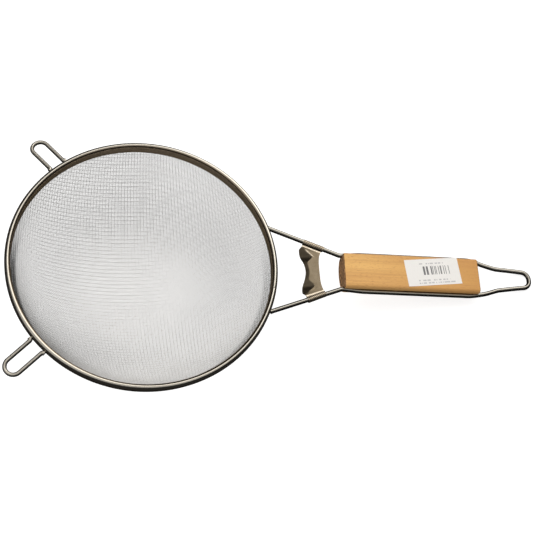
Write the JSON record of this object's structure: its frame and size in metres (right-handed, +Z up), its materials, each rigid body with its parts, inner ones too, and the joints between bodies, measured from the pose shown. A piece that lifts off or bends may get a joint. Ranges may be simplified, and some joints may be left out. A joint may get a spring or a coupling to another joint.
{
  "type": "mesh strainer",
  "caption": "Kitchen strainer: a round bowl of fine wire cloth over a coarse one, folded steel rim, wire pot rests, and a wooden grip in a wire frame with a hanging loop.",
  "frame": {"origin": "middle of the strainer's box on the table it lies on", "axes": "+X from the bowl towards the hanging loop, +Z up from the table, +Y to the left of the handle seen from the bowl's mouth side; the strainer rests on its bowl and on the tip of the hanging loop"},
  "size_m": [0.4034, 0.204, 0.092],
  "materials": {
    "plated_steel": "bright plated, slightly warm",
    "wire_cloth": "woven wire, satin",
    "brace_steel": "rolled sheet, satin",
    "beech_wood": "sanded, thin clear lacquer"
  },
  "bodies": {
    "root": {"rim_band": "plated_steel", "rim_core_wire": "plated_steel", "fine_mesh": "wire_cloth", "support_mesh": "wire_cloth", "handle_frame": "plated_steel", "brace_plate": "brace_steel", "wood_handle": "beech_wood", "pot_rest_1": "plated_steel", "pot_rest_2": "plated_steel"}
  },
  "joints": []
}
